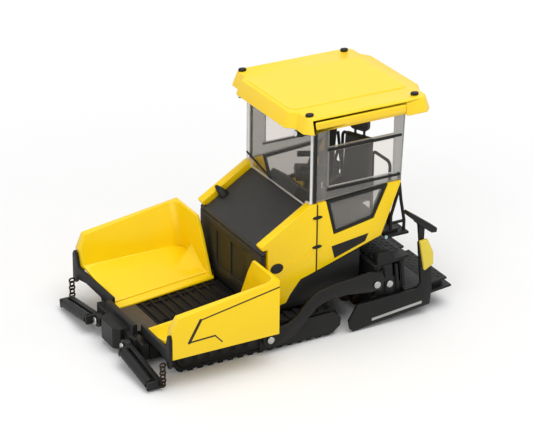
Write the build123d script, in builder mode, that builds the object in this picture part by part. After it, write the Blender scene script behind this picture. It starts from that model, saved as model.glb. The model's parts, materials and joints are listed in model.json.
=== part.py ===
from build123d import *
from math import cos, sin, pi, radians, atan2, degrees, hypot
import os

# A 1:50 scale model of a tracked asphalt paver, in millimetres.
# +X points forward to the hopper, +Y to the machine's left, +Z up, z = 0 is the ground.
# The origin lies under the middle of the model's length and width.

# Overall sizes and clearances
half_length = 54.25
side_reach = 33.0
hood_half_width = 16.7
canopy_top = 71.6
gap = 0.25
pin_gap = 0.12
slide_gap = 0.35

# The towed rear end: everything there keeps its place behind the screed's nose
screed_nose_x = 36.35 - half_length
auger_x = screed_nose_x - 3.0

# Chassis
chassis_half_width = hood_half_width - 0.7
chassis_bottom = 2.2
chassis_front_x = half_length - 8.25
chassis_rear_x = auger_x + 6.9
bore_radius = 1.25
bore_depth = 5.0
bore_front_x = 24.0
bore_rear_x = -2.0

# Tracks
track_width = 7.5
track_outer_y = chassis_half_width + 2 * gap + track_width
idler_front_x = half_length - 15.85
idler_rear_x = chassis_rear_x + 4.8
track_radius = 4.7
lug_height = 0.6
lug_length = 1.7
lug_count = 36
belt_thickness = 0.9
side_plate_thickness = 0.6
side_plate_front_x = 14.0
roller_count = 6

# Conveyor
conveyor_half_width = 7.85
lip_front_z = 8.0
lip_rear_z = 11.0
conveyor_front_x = half_length - 15.55
bar_pitch = 3.0
bar_width = 1.0
bar_height = 0.5

# Hood and engine
hood_front_x = 10.6
hood_front_z = 30.9
hood_rear_x = -5.7
hood_rear_z = 40.9
hood_wall = 1.2
hood_bottom = 12.5
hood_cover_drop = 1.5
nose_half_width = hood_half_width + 2.9
nose_depth = 1.55
engine_length = 12.0
engine_height = 12.0
engine_half_width = hood_half_width - 5.7

# Side panels
panel_outer_y = hood_half_width + 3.5
panel_thickness = 3.2
door_rear_x = -7.9
rear_panel_thickness = 1.6
skirt_outer_y = panel_outer_y - 0.4
skirt_thickness = 2.8
skirt_rear_x = auger_x - 2.4
auger_bay_front_x = auger_x + 5.4

# Operator's platform
floor_z = 27.6
floor_thickness = 1.0
floor_rear_x = 16.65 - half_length
floor_half_width = panel_outer_y - 1.8
seat_y = floor_half_width - 7.9
seat_x = floor_rear_x + 13.6
seat_width = 9.0
seat_turn = 25.0

# Glazing
glass_front_x = -5.5
glass_rear_x = floor_rear_x - 0.6
glass_y = panel_outer_y - 0.7
glass_thickness = 0.8
glass_bottom_front_z = hood_rear_z + 2.0
glass_bottom_rear_z = hood_rear_z + 3.7
rail_size = 0.7
upper_rail_z = canopy_top - 12.4
lower_rail_z = 46.4

# Canopy
canopy_front_x = 1.0
canopy_rear_x = 6.75 - half_length
canopy_half_width = panel_outer_y + 4.0
canopy_bottom = canopy_top - 4.8
canopy_wall = 1.2
canopy_slope = 1.6
awning_depth = 2.3
awning_thickness = 1.0
awning_front_x = canopy_front_x - 5.6
awning_rear_x = canopy_rear_x + 11.6
lamp_front_x = canopy_front_x - 5.4
lamp_rear_x = canopy_rear_x + 7.1
lamp_y = canopy_half_width - 3.8

# Hopper wings
wing_wall = 1.0
wing_knuckle_radius = 0.55
wing_knuckle_gap = 0.2
wing_hinge_y = conveyor_half_width + wing_knuckle_gap + wing_knuckle_radius
wing_front_x = half_length - 7.55
wing_rear_x = hood_front_x + 1.3
wing_top = 27.9
wing_front_top = 23.2
wing_step = 0.6
wing_step_width = 2.2
wing_corner_radius = 3.2
wing_bottom = 10.2
wing_crease_y = side_reach - 5.0
wing_crease_z = 14.0
apron_thickness = 1.0
apron_face_x = half_length - 6.05
apron_slant = 0.1
ear_top = 18.0

# Front beam
ridge_rear_x = half_length - 7.65
ridge_half_width = 9.2
ridge_top = 11.0
beam_plate_x = half_length - 5.95
beam_half_width = 12.5
beam_bottom = 1.8
block_half_width = 5.6
block_front_x = half_length - 1.85
block_chamfer = 1.8
block_top = 8.6

# Push rollers
push_pin_y = 9.3
push_pin_z = 4.9
push_pin_radius = 0.8
push_ring_radius = 2.0
push_ring_rear_x = half_length - 4.95
push_ring_length = 2.2
push_droop = 8.0
push_roller_radius = 1.55
push_roller_inner = push_pin_y + 3.1
push_roller_outer = side_reach - 3.6
push_end_thickness = 1.0
chain_x = half_length - 4.85
chain_pin_radius = 0.3
chain_links = 6
link_length = 2.1
link_width = 1.7
link_wire = 0.4

# Rivet heads
rivet_radius = 1.15
rivet_height = 0.5

# Screed and tow arms
tow_pin_x = 11.0
tow_pin_z = 4.7
tow_pin_radius = 0.7
arm_eye_radius = 2.4
arm_clearance = 0.1
arm_inner_y = track_outer_y + gap + side_plate_thickness + arm_clearance
arm_thickness = 1.1
arm_pad_thickness = 1.35
screed_tilt = 5.6
screed_nose_z = 0.3
screed_half_width = arm_inner_y - arm_pad_thickness
screed_front_u = 8.6
screed_depth = 10.5
screed_height = 8.0
screed_sole_v = 0.3
box_inner_y = 8.0
box_top_v = 17.4
rod_v = 4.0
extension_depth = 8.2
extension_height = 7.4
end_plate_inner_y = screed_half_width + 1.3
end_plate_outer_y = end_plate_inner_y + 1.1
tower_front_u = 24.8
tower_height = 22.6
guide_rod_radius = 0.8

# Augers
auger_z = 8.8
auger_radius = 3.0
auger_hub_radius = 1.7
auger_shaft_radius = 0.8
auger_outer_y = screed_half_width - 2.1
flight_pitch = 4.6
flight_thickness = 0.6

os.makedirs("parts", exist_ok=True)


def save(part, name):
    """Label one finished piece and write it as its own STEP file."""
    part.label = name
    export_step(part, f"parts/{name}.step")


def save_pair(part, name):
    """Write a left piece, and its mirror image as the right one."""
    save(part, f"{name}_left")
    save(mirror(part, about=Plane.XZ), f"{name}_right")


def both_sides(part):
    """A left piece and its mirror image, as the separate solids of one node."""
    with BuildPart() as pair:
        add(part)
        mirror(about=Plane.XZ)
    return pair.part


def side_plane(y):
    """A plane facing +Y at one y, drawn in x (to the right) and z (up) as seen from -Y."""
    return Plane(origin=(0, y, 0), x_dir=(1, 0, 0), z_dir=(0, -1, 0))


def front_plane(x):
    """A plane facing +X at one x, drawn in y and z."""
    return Plane(origin=(x, 0, 0), x_dir=(0, 1, 0), z_dir=(1, 0, 0))


def side_prism(points, inner_y, outer_y):
    """A plate drawn in x and z that fills inner_y to outer_y."""
    with BuildPart() as prism:
        with BuildSketch(side_plane(outer_y)):
            with BuildLine():
                Polyline(*points, close=True)
            make_face()
        extrude(amount=outer_y - inner_y)
    return prism.part


def box_between(x0, x1, y0, y1, z0, z1):
    """A box from its lowest to its highest corner."""
    with BuildPart() as block:
        with Locations(((x0 + x1) / 2, (y0 + y1) / 2, (z0 + z1) / 2)):
            Box(x1 - x0, y1 - y0, z1 - z0)
    return block.part


def tube(points, bend, radius):
    """A round bar along straight runs joined by bends of one radius."""
    with BuildPart() as bar:
        with BuildLine() as path:
            FilletPolyline(*points, radius=bend)
        with BuildSketch(Plane(origin=path.line @ 0, z_dir=path.line % 0)):
            Circle(radius)
        sweep(path=path.line)
    return bar.part


# Each left piece is drawn once, and its right twin is its mirror image.

# Rubber tracks: a belt with its lugs, spaced evenly round the loop
belt_outer = track_radius - lug_height
belt_inner = belt_outer - belt_thickness
track_run = idler_front_x - idler_rear_x
track_mid_x = (idler_front_x + idler_rear_x) / 2
loop_length = 2 * track_run + 2 * pi * belt_outer
lug_bite = 0.2


def lug_place(distance):
    """Where a lug's middle lies, this far along the belt from the rear idler's top."""
    lug_radius = belt_outer + lug_height / 2 - lug_bite / 2
    bend_length = pi * belt_outer
    if distance < track_run:
        return Location((idler_rear_x + distance, track_radius + lug_radius, 0))
    distance -= track_run
    if distance < bend_length:
        turn = 90 - degrees(distance / belt_outer)
        across = lug_radius * cos(radians(turn))
        up = lug_radius * sin(radians(turn))
        return Location((idler_front_x + across, track_radius + up, 0), (0, 0, turn - 90))
    distance -= bend_length
    if distance < track_run:
        return Location((idler_front_x - distance, track_radius - lug_radius, 0))
    turn = 270 - degrees((distance - track_run) / belt_outer)
    across = lug_radius * cos(radians(turn))
    up = lug_radius * sin(radians(turn))
    return Location((idler_rear_x + across, track_radius + up, 0), (0, 0, turn - 90))


with BuildPart() as track:
    with BuildSketch(side_plane(track_outer_y)):
        with Locations(*[lug_place((n + 0.5) * loop_length / lug_count) for n in range(lug_count)]):
            Rectangle(lug_length, lug_height + lug_bite)
        with Locations((track_mid_x, track_radius)):
            SlotCenterToCenter(track_run, 2 * track_radius, mode=Mode.INTERSECT)
            SlotCenterToCenter(track_run, 2 * belt_outer)
            SlotCenterToCenter(track_run, 2 * belt_inner, mode=Mode.SUBTRACT)
    extrude(amount=track_width)
save_pair(track.part, "track")

# Track frames: the block inside each belt, with road rollers and the rear side plate
frame_radius = belt_inner - gap
roller_radius = 1.7
roller_stand_out = 0.45
side_plate_points = [
    (side_plate_front_x, 6.9),
    (idler_rear_x + 8.1, 7.9),
    (idler_rear_x - 2.2, 8.1),
    (idler_rear_x - 5.0, 5.6),
    (idler_rear_x - 4.8, 3.0),
    (idler_rear_x - 2.0, 0.9),
    (side_plate_front_x, 0.9),
]
with BuildPart() as track_frame:
    with BuildSketch(side_plane(track_outer_y + gap)):
        with Locations((track_mid_x, track_radius)):
            SlotCenterToCenter(track_run, 2 * frame_radius)
    extrude(amount=track_outer_y + gap - chassis_half_width)
    with BuildSketch(side_plane(track_outer_y + gap + side_plate_thickness)):
        with BuildLine():
            Polyline(*side_plate_points, close=True)
        make_face()
    extrude(amount=side_plate_thickness)
    with BuildSketch(side_plane(track_outer_y + gap + roller_stand_out)):
        roller_pitch = (idler_front_x - side_plate_front_x - 2 * roller_radius) / (roller_count - 1)
        first_roller_x = side_plate_front_x + 2 * roller_radius
        with Locations(*[(first_roller_x + n * roller_pitch, track_radius) for n in range(roller_count)]):
            Circle(roller_radius)
    extrude(amount=roller_stand_out + gap)
save_pair(track_frame.part, "track_frame")

# Chassis: a flat tub between the tracks, a wider deck above them, and two blind fixing holes
deck_bottom = 2 * track_radius + 3 * gap
deck_top = hood_bottom
with BuildPart() as chassis:
    add(box_between(chassis_rear_x, chassis_front_x, -chassis_half_width, chassis_half_width,
                    chassis_bottom, lip_front_z - wing_wall - 2 * gap))
    add(box_between(chassis_rear_x, chassis_front_x, -conveyor_half_width, conveyor_half_width,
                    chassis_bottom, lip_front_z - bar_height))
    add(box_between(chassis_rear_x, hood_front_x - hood_wall, -chassis_half_width, chassis_half_width,
                    chassis_bottom, deck_bottom))
    add(box_between(auger_bay_front_x, hood_front_x - hood_wall, -hood_half_width, hood_half_width,
                    deck_bottom, deck_top))
    with Locations((bore_front_x, 0, chassis_bottom), (bore_rear_x, 0, chassis_bottom)):
        Cylinder(bore_radius, 2 * bore_depth, mode=Mode.SUBTRACT)
save(chassis.part, "chassis")

# Conveyor: an inclined deck with cross bars, and the flat plate at its front
deck_rise = lip_rear_z - lip_front_z
wing_run = wing_front_x - wing_rear_x


def lip_height(x):
    """Height of the hopper's inner lip at one x."""
    return lip_front_z + deck_rise * (wing_front_x - x) / wing_run


conveyor_rear_x = hood_front_x + gap
deck_drop = 2 * bar_height
with BuildPart() as conveyor:
    with BuildSketch(side_plane(conveyor_half_width)):
        with BuildLine():
            Polyline((conveyor_front_x, lip_front_z - bar_height),
                     (conveyor_front_x, lip_height(conveyor_front_x) - deck_drop),
                     (conveyor_rear_x, lip_height(conveyor_rear_x) - deck_drop),
                     (conveyor_rear_x, lip_front_z - bar_height), close=True)
        make_face()
    extrude(amount=2 * conveyor_half_width)
    bar_count = int((conveyor_front_x - conveyor_rear_x) / bar_pitch)
    for n in range(bar_count):
        x = conveyor_front_x - (n + 0.5) * bar_pitch
        z = lip_height(x) - deck_drop
        add(box_between(x - bar_width / 2, x + bar_width / 2, -conveyor_half_width, conveyor_half_width,
                        z - bar_height / 2, z + bar_height))
save(conveyor.part, "conveyor")

sill_rear_x = ridge_rear_x - gap
front_plate = box_between(conveyor_front_x + gap, sill_rear_x, -conveyor_half_width, conveyor_half_width,
                          lip_front_z - bar_height, lip_front_z)
save(front_plate, "front_plate")

# Front beam: the ridge bar, the cross plate and the block that carries the push rollers
with BuildPart() as front_beam:
    add(box_between(ridge_rear_x, beam_plate_x, -ridge_half_width, ridge_half_width,
                    lip_front_z - bar_height, ridge_top))
    add(box_between(chassis_front_x, beam_plate_x, -chassis_half_width + gap, chassis_half_width - gap,
                    chassis_bottom, lip_front_z - bar_height))
    add(box_between(beam_plate_x, push_ring_rear_x - gap, -beam_half_width, beam_half_width,
                    beam_bottom, lip_front_z))
    with BuildSketch(Plane.XY.offset(beam_bottom)):
        with BuildLine():
            Polyline((beam_plate_x, block_half_width), (block_front_x - block_chamfer, block_half_width),
                     (block_front_x, block_half_width - block_chamfer),
                     (block_front_x, block_chamfer - block_half_width),
                     (block_front_x - block_chamfer, -block_half_width),
                     (beam_plate_x, -block_half_width), close=True)
        make_face()
    extrude(amount=block_top - beam_bottom)
    for y in (push_pin_y, -push_pin_y):
        with BuildSketch(front_plane(push_ring_rear_x - gap)):
            with Locations((y, push_pin_z)):
                Circle(push_pin_radius)
        extrude(amount=push_ring_length + 2 * gap)
save(front_beam.part, "front_beam")

# Engine: one plain block on the deck, inside the hood
engine_mid_x = (hood_front_x + hood_rear_x) / 2
engine = box_between(engine_mid_x - engine_length / 2, engine_mid_x + engine_length / 2,
                     -engine_half_width, engine_half_width, deck_top, deck_top + engine_height)
save(engine, "engine_block")

# Hood: a sloping cover open below, with a rounded nose that reaches in front of the side panels
nose_points = [
    (hood_front_x - nose_depth, hood_front_z - hood_cover_drop),
    (hood_front_x, hood_front_z - hood_cover_drop),
    (hood_front_x, hood_front_z - 0.7),
    (hood_front_x - 0.35, hood_front_z - 0.15),
    (hood_front_x - 0.9, hood_front_z + 0.05),
    (hood_front_x - nose_depth, hood_front_z + 0.05),
]
with BuildPart() as hood:
    with BuildSketch(side_plane(hood_half_width)):
        with BuildLine():
            Polyline((hood_front_x, hood_front_z - hood_cover_drop), (hood_front_x, hood_front_z),
                     (hood_rear_x, hood_rear_z), (hood_rear_x, deck_top), (hood_rear_x + hood_wall, deck_top),
                     (hood_rear_x + hood_wall, hood_rear_z - 2 * hood_wall),
                     (hood_front_x - hood_wall, hood_front_z - hood_wall),
                     (hood_front_x - hood_wall, hood_front_z - hood_cover_drop), close=True)
        make_face()
    extrude(amount=2 * hood_half_width)
    nose_edge = hood.edges().filter_by(Axis.Y).sort_by(Axis.X)[-2:].sort_by(Axis.Z)[-1]
    fillet(nose_edge, hood_wall)
    add(side_prism(nose_points, -nose_half_width, nose_half_width))
save(hood.part, "hood")

# Hood front: an upright wall as wide as the nose, with two shallow sunk fields
front_bottom = lip_height(hood_front_x) - deck_drop
front_top = hood_front_z - hood_cover_drop - pin_gap
field_sink = 0.35
field_width = 8.4
field_height = 11.4
field_mid_z = 20.6
field_mid_y = 4.6
with BuildPart() as hood_front:
    add(box_between(hood_front_x - hood_wall, hood_front_x, -nose_half_width, nose_half_width,
                    front_bottom, front_top))
    with BuildSketch(front_plane(hood_front_x)):
        with Locations((field_mid_y, field_mid_z), (-field_mid_y, field_mid_z)):
            RectangleRounded(field_width, field_height, 0.8)
    extrude(amount=-field_sink, mode=Mode.SUBTRACT)
save(hood_front.part, "hood_front")

# Side panels: the yellow engine door side and, behind the seam, the cab side with its window cut
seam_half = gap / 2
door_front_x = hood_front_x - nose_depth - gap
door_points = [
    (door_front_x, 11.9),
    (door_front_x, hood_front_z + 0.3),
    (hood_front_x, hood_front_z + 0.3),
    (hood_front_x + 0.7, hood_front_z + 1.6),
    (hood_rear_x + 0.3, hood_rear_z + 1.7),
    (door_rear_x + seam_half, hood_rear_z + 1.8),
    (door_rear_x + seam_half, 20.5),
    (-2.5, 19.0),
    (1.0, 14.7),
    (2.4, 12.3),
    (4.5, 11.9),
]
panel_inner_y = panel_outer_y - panel_thickness
side_panel = side_prism(door_points, panel_inner_y, panel_outer_y)
save_pair(side_panel, "side_panel")

window_points = [
    (door_rear_x - 3.0, hood_rear_z + 2.1),
    (door_rear_x - 5.9, 31.4),
    (floor_rear_x + 9.9, 33.8),
    (floor_rear_x + 5.1, hood_rear_z + 3.4),
]
rear_panel_points = [
    (door_rear_x - seam_half, hood_rear_z + 1.9),
    *window_points,
    (floor_rear_x + 0.5, hood_rear_z + 3.4),
    (floor_rear_x + 7.1, 27.5),
    (door_rear_x - seam_half, 20.6),
]
rear_panel_inner_y = panel_outer_y - rear_panel_thickness
save_pair(side_prism(rear_panel_points, rear_panel_inner_y, panel_outer_y), "cab_side")

# Lower cab windows: a dark frame that fills the cut, and the mesh pane in it
frame_width = 1.0
pane_thickness = 0.6
frame_outer_y = panel_outer_y - 0.1
with BuildPart() as window_frame:
    with BuildSketch(side_plane(frame_outer_y)) as frame_face:
        with BuildLine():
            Polyline(*window_points, close=True)
        make_face()
        offset(amount=-pin_gap)
        offset(amount=-frame_width, mode=Mode.SUBTRACT)
    extrude(amount=rear_panel_thickness - 0.1)
save(both_sides(window_frame.part), "lower_window_frames")

with BuildPart() as lower_pane:
    with BuildSketch(side_plane(frame_outer_y - pane_thickness / 2)):
        with BuildLine():
            Polyline(*window_points, close=True)
        make_face()
        offset(amount=-pin_gap - frame_width - 0.05)
    extrude(amount=pane_thickness)
save(both_sides(lower_pane.part), "lower_windows")

# Skirts: the black lower side behind the yellow panels
auger_bay_top = auger_z + auger_radius + 4 * gap
skirt_points = [
    (9.0, deck_bottom),
    (9.0, 11.65),
    (4.3, 11.65),
    (2.2, 12.1),
    (0.8, 14.5),
    (-2.65, 18.75),
    (-8.0, 20.25),
    (skirt_rear_x, 24.95),
    (skirt_rear_x, auger_bay_top),
    (auger_bay_front_x, auger_bay_top),
    (auger_bay_front_x, deck_bottom),
]
skirt = side_prism(skirt_points, skirt_outer_y - skirt_thickness, skirt_outer_y)
save(both_sides(skirt), "skirts")

# Rear body: the closed block under the platform
rear_body_front_x = hood_rear_x - gap
platform_bottom = floor_z - floor_thickness
rear_body_points = [
    (rear_body_front_x, deck_top),
    (rear_body_front_x, platform_bottom),
    (skirt_rear_x + gap, platform_bottom),
    (skirt_rear_x + gap, auger_bay_top),
    (auger_bay_front_x, auger_bay_top),
    (auger_bay_front_x, deck_top),
]
save(side_prism(rear_body_points, -hood_half_width, hood_half_width), "rear_body")

# Operator's platform, its rear steps and its instrument desk
with BuildPart() as platform:
    add(box_between(floor_rear_x, door_rear_x - gap, -floor_half_width, floor_half_width,
                    platform_bottom, floor_z))
    add(box_between(door_rear_x - gap, rear_body_front_x, -hood_half_width, hood_half_width,
                    platform_bottom, floor_z))
save(platform.part, "platform")

step_outer_y = floor_half_width + 1.6
step_inner_y = step_outer_y - 8.0
step_thickness = 0.8
step_rear_x = floor_rear_x - 3.0
rear_step = box_between(step_rear_x, floor_rear_x + 5.0, step_inner_y, step_outer_y,
                        platform_bottom - step_thickness, platform_bottom)
save(both_sides(rear_step), "rear_steps")

desk_front_x = glass_front_x - glass_thickness - gap
desk_points = [
    (desk_front_x, floor_z),
    (desk_front_x, 42.0),
    (-8.5, 43.6),
    (-12.8, 40.6),
    (-11.0, 34.0),
    (-11.0, floor_z),
]
desk_half_width = 8.0
desk = side_prism(desk_points, -desk_half_width, desk_half_width)
save(desk, "instrument_desk")

# Seats: a pedestal, cushion, back and headrest, turned a little outwards
with BuildPart() as seat:
    with BuildSketch(side_plane(seat_width / 2)):
        with BuildLine():
            Polyline((5.6, 9.2), (5.2, 11.4), (-3.4, 11.0), (-4.2, 19.0), (-4.8, 28.0), (-5.8, 29.0),
                     (-7.0, 28.2), (-6.4, 19.0), (-6.0, 10.4), (-4.4, 8.6), close=True)
        make_face()
    extrude(amount=seat_width)
    fillet(seat.edges().filter_by(Axis.Y), 0.4)
    add(box_between(-2.6, 2.6, -2.6, 2.6, 0, 8.9))
    for y in (1.6, -1.6):
        add(box_between(-6.2, -5.7, y - 0.4, y + 0.4, 27.6, 31.4))
    with BuildSketch(front_plane(-6.9)):
        with Locations((0, 32.4)):
            RectangleRounded(6.4, 4.2, 1.4)
    extrude(amount=1.8)
    for side in (1, -1):
        y = side * (seat_width / 2 + 0.9)
        add(box_between(-5.0, 4.4, y - 0.9, y + 0.9, 13.4, 14.8))
        add(box_between(-4.6, -2.6, y - 0.9, y + 0.9, 9.4, 13.4))
seat_place = Location((seat_x, seat_y, floor_z), (0, 0, seat_turn))
save(both_sides(seat.part.moved(seat_place)), "seats")

# Cab glazing: the windscreen, a smoked frame each side with its opening, and the clear side pane
canopy_ceiling = canopy_top - 2.2
glass_top_z = canopy_ceiling - pin_gap
sill_z = glass_bottom_front_z - pin_gap
with BuildPart() as windscreen:
    add(box_between(glass_front_x - glass_thickness, glass_front_x, -hood_half_width, hood_half_width,
                    hood_rear_z + gap, glass_top_z))
    add(box_between(glass_front_x - glass_thickness, glass_front_x, -glass_y, glass_y,
                    sill_z, glass_top_z))
save(windscreen.part, "windscreen")

frame_front_x = glass_front_x - glass_thickness - pin_gap
side_frame_points = [
    (frame_front_x, glass_bottom_front_z),
    (frame_front_x, glass_top_z),
    (glass_rear_x, glass_top_z),
    (glass_rear_x + 0.9, glass_bottom_rear_z),
]
opening_front_x = -11.9
opening_rear_x = glass_rear_x + 3.6
upper_opening = (upper_rail_z + rail_size, canopy_bottom - 0.2)
pane_opening = (lower_rail_z + rail_size, upper_rail_z - rail_size)
with BuildPart() as glass_frame:
    with BuildSketch(side_plane(glass_y)):
        with BuildLine():
            Polyline(*side_frame_points, close=True)
        make_face()
        for bottom, top in (upper_opening, pane_opening):
            with Locations(((opening_front_x + opening_rear_x) / 2, (bottom + top) / 2)):
                Rectangle(opening_front_x - opening_rear_x, top - bottom, mode=Mode.SUBTRACT)
    extrude(amount=glass_thickness)
save(both_sides(glass_frame.part), "side_glazing")

side_pane = box_between(opening_rear_x + pin_gap, opening_front_x - pin_gap,
                        glass_y - 0.7 * glass_thickness, glass_y - 0.2 * glass_thickness,
                        pane_opening[0] + pin_gap, pane_opening[1] - pin_gap)
save(both_sides(side_pane), "side_panes")

# Black rails and the corner seal on the outside of the glazing
rail_stand_out = 0.4
seal_front_x = -6.7
seal_width = 1.0
wiper_radius = 0.3
wiper_x = glass_front_x + wiper_radius
wiper_points = [
    (wiper_x, 0.9 - glass_y, hood_rear_z + 4.5),
    (wiper_x, 9.5 - glass_y, hood_rear_z + 2.8),
    (wiper_x, 16.1 - glass_y, hood_rear_z + 1.5),
]
with BuildPart() as glazing_trim:
    for z in (upper_rail_z, lower_rail_z):
        add(box_between(glass_rear_x + 1.4, opening_front_x + 0.6, glass_y, glass_y + rail_stand_out,
                        z - rail_size / 2, z + rail_size / 2))
    add(box_between(seal_front_x - seal_width, seal_front_x, glass_y, glass_y + rail_stand_out / 2,
                    glass_bottom_front_z, glass_top_z - 1.6))
    mirror(about=Plane.XZ)
    add(tube(wiper_points, 6.0, wiper_radius))
save(glazing_trim.part, "glazing_trim")

# Canopy: a shallow shell that slopes in to its crown, with a front visor, four corner lobes
# and a notch along each side where the awning lies
canopy_outline = [
    (canopy_front_x, 0),
    (canopy_front_x, canopy_half_width - 9.4),
    (canopy_front_x - 2.4, canopy_half_width - 7.0),
    (canopy_front_x - 2.4, canopy_half_width - 2.4),
    (canopy_front_x - 5.0, canopy_half_width),
    (canopy_rear_x + 4.6, canopy_half_width),
    (canopy_rear_x + 2.1, canopy_half_width - 2.6),
    (canopy_rear_x + 2.1, canopy_half_width - 7.2),
    (canopy_rear_x, canopy_half_width - 10.2),
    (canopy_rear_x, 0),
]
notch_top = canopy_top - 1.1
awning_outer_y = canopy_half_width - 0.5
notch_inner_y = awning_outer_y - awning_thickness - gap
with BuildPart() as canopy:
    with BuildSketch(Plane.XY.offset(canopy_bottom)) as canopy_plan:
        with BuildLine():
            Polyline(*canopy_outline)
            mirror(about=Plane.XZ)
        make_face()
    with BuildSketch(Plane.XY.offset(canopy_top)):
        add(canopy_plan.sketch_local)
        offset(amount=-canopy_slope, kind=Kind.INTERSECTION, mode=Mode.REPLACE)
    loft(ruled=True)
    with BuildSketch(Plane.XY.offset(canopy_bottom)):
        add(canopy_plan.sketch_local)
        offset(amount=-2 * canopy_wall, kind=Kind.INTERSECTION, mode=Mode.REPLACE)
    extrude(amount=canopy_ceiling - canopy_bottom, mode=Mode.SUBTRACT)
    notch = box_between(awning_rear_x, awning_front_x, notch_inner_y, canopy_half_width + gap,
                        canopy_bottom - gap, notch_top)
    add(both_sides(notch), mode=Mode.SUBTRACT)
save(canopy.part, "canopy")

# Awnings: the strip in the notch along each side
awning = box_between(awning_rear_x + gap, awning_front_x - gap, awning_outer_y - awning_thickness, awning_outer_y,
                     notch_top - pin_gap - awning_depth, notch_top - pin_gap)
save(both_sides(awning), "awnings")

lamp_places = [(x, y) for x in (lamp_front_x, lamp_rear_x) for y in (lamp_y, -lamp_y)]
with BuildPart() as roof_lamps:
    with BuildSketch(Plane.XY.offset(canopy_top)):
        with Locations(*lamp_places):
            Ellipse(1.3, 1.0)
    extrude(amount=0.8)
save(roof_lamps.part, "roof_lamps")

work_lamp_x = canopy_front_x - 3.8
work_lamp_y = canopy_half_width - 7.0
work_lamp_z = canopy_bottom - 1.5
with BuildPart() as work_lamps:
    with Locations(Location((work_lamp_x, work_lamp_y, work_lamp_z), (0, 80, 0))):
        Cylinder(1.1, 2.2)
    add(box_between(work_lamp_x - 0.6, work_lamp_x + 0.4, work_lamp_y - 0.3, work_lamp_y + 0.3, work_lamp_z, canopy_bottom))
    mirror(about=Plane.XZ)
save(work_lamps.part, "work_lamps")

# Grab rails at the platform's rear corners and the hoops across its back
rail_radius = 0.5
rail_y = floor_half_width - rail_radius
rail_foot_x = step_rear_x + rail_radius + 0.1
hoop_x = floor_rear_x + 0.8
hoop_top = 48.0
grab_rail_points = [(floor_rear_x + 0.2, rail_y, 46.0), (floor_rear_x - 1.0, rail_y, 36.8),
                    (rail_foot_x, rail_y, 29.6),
                    (rail_foot_x, rail_y, platform_bottom)]
hoop_points = [(hoop_x, 4.0, floor_z), (hoop_x, 4.0, hoop_top), (hoop_x, 14.0, hoop_top),
               (hoop_x, 14.0, floor_z)]
brace_foot_x = floor_rear_x + 2.4
rail_brace_points = [(floor_rear_x - 0.3, rail_y, 41.0), (brace_foot_x, rail_y, 32.0),
                     (brace_foot_x, rail_y, floor_z)]
rung_z = floor_z + 1.9
rung_half = 0.35
with BuildPart() as handrails:
    add(tube(grab_rail_points, 1.4, rail_radius))
    add(tube(rail_brace_points, 4.0, rail_radius))
    add(box_between(rail_foot_x, brace_foot_x, rail_y - rung_half, rail_y + rung_half,
                    rung_z - rung_half, rung_z + rung_half))
    add(tube(hoop_points, 1.8, rail_radius))
    mirror(about=Plane.XZ)
save(handrails.part, "handrails")

# Hopper wings: floor, sloping inner wall and upright outer wall, lofted from front to rear
wing_outer_y = side_reach
wing_rim = 1.2


def wing_section(x):
    """The wing's section in y and z at one x."""
    lip = lip_height(x)
    step_y = wing_hinge_y + wing_step_width
    return [
        (wing_hinge_y, lip - wing_wall),
        (wing_hinge_y, lip),
        (step_y, lip + 0.2),
        (step_y, lip + 0.2 + wing_step),
        (wing_crease_y, wing_crease_z),
        (wing_outer_y - wing_rim, wing_top),
        (wing_outer_y, wing_top),
        (wing_outer_y, wing_bottom),
        (wing_outer_y - wing_wall, wing_bottom),
        (wing_outer_y - wing_wall, wing_crease_z - wing_wall),
        (wing_crease_y, wing_crease_z - wing_wall),
    ]


def front_line(y, setback):
    """The slanting line of the hopper's front edge, seen from above."""
    return apron_face_x - setback - apron_slant * (wing_outer_y - y)


rear_wall_points = [
    (wing_hinge_y + 0.4, lip_rear_z - wing_wall / 2),
    (side_reach - 17.8, 23.4),
    (side_reach - 15.0, wing_top),
    (wing_outer_y - wing_wall / 2, wing_top),
    (wing_outer_y - wing_wall / 2, wing_crease_z - wing_wall / 2),
    (wing_crease_y, wing_crease_z - wing_wall / 2),
]
top_trim_points = [
    (wing_front_x + 3.3, 11.7),
    (wing_front_x - 1.7, wing_front_top),
    (wing_rear_x, wing_top),
    (wing_rear_x, wing_top + 5.0),
    (wing_front_x + 3.3, wing_top + 5.0),
]
beyond = 2 * side_reach


def corner_fill(corner_y, inner_x):
    """Seen from above, the hollow fillet between the rear wall and the outer wall."""
    r = wing_corner_radius
    overlap = wing_wall / 2
    arc = [(inner_x + r * (1 - cos(a)), corner_y - r * (1 - sin(a))) for a in (0, pi / 6, pi / 3, pi / 2)]
    return [(inner_x - overlap, corner_y + overlap), (inner_x - overlap, corner_y - r), *arc,
            (inner_x + r, corner_y + overlap)]


def pointed_solid(a, b, c, d):
    """A solid with four corners."""
    faces = [Face(Wire.make_polygon(corners)) for corners in ((a, b, c), (a, c, d), (a, d, b), (b, d, c))]
    return Solid(Shell(faces))


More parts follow.
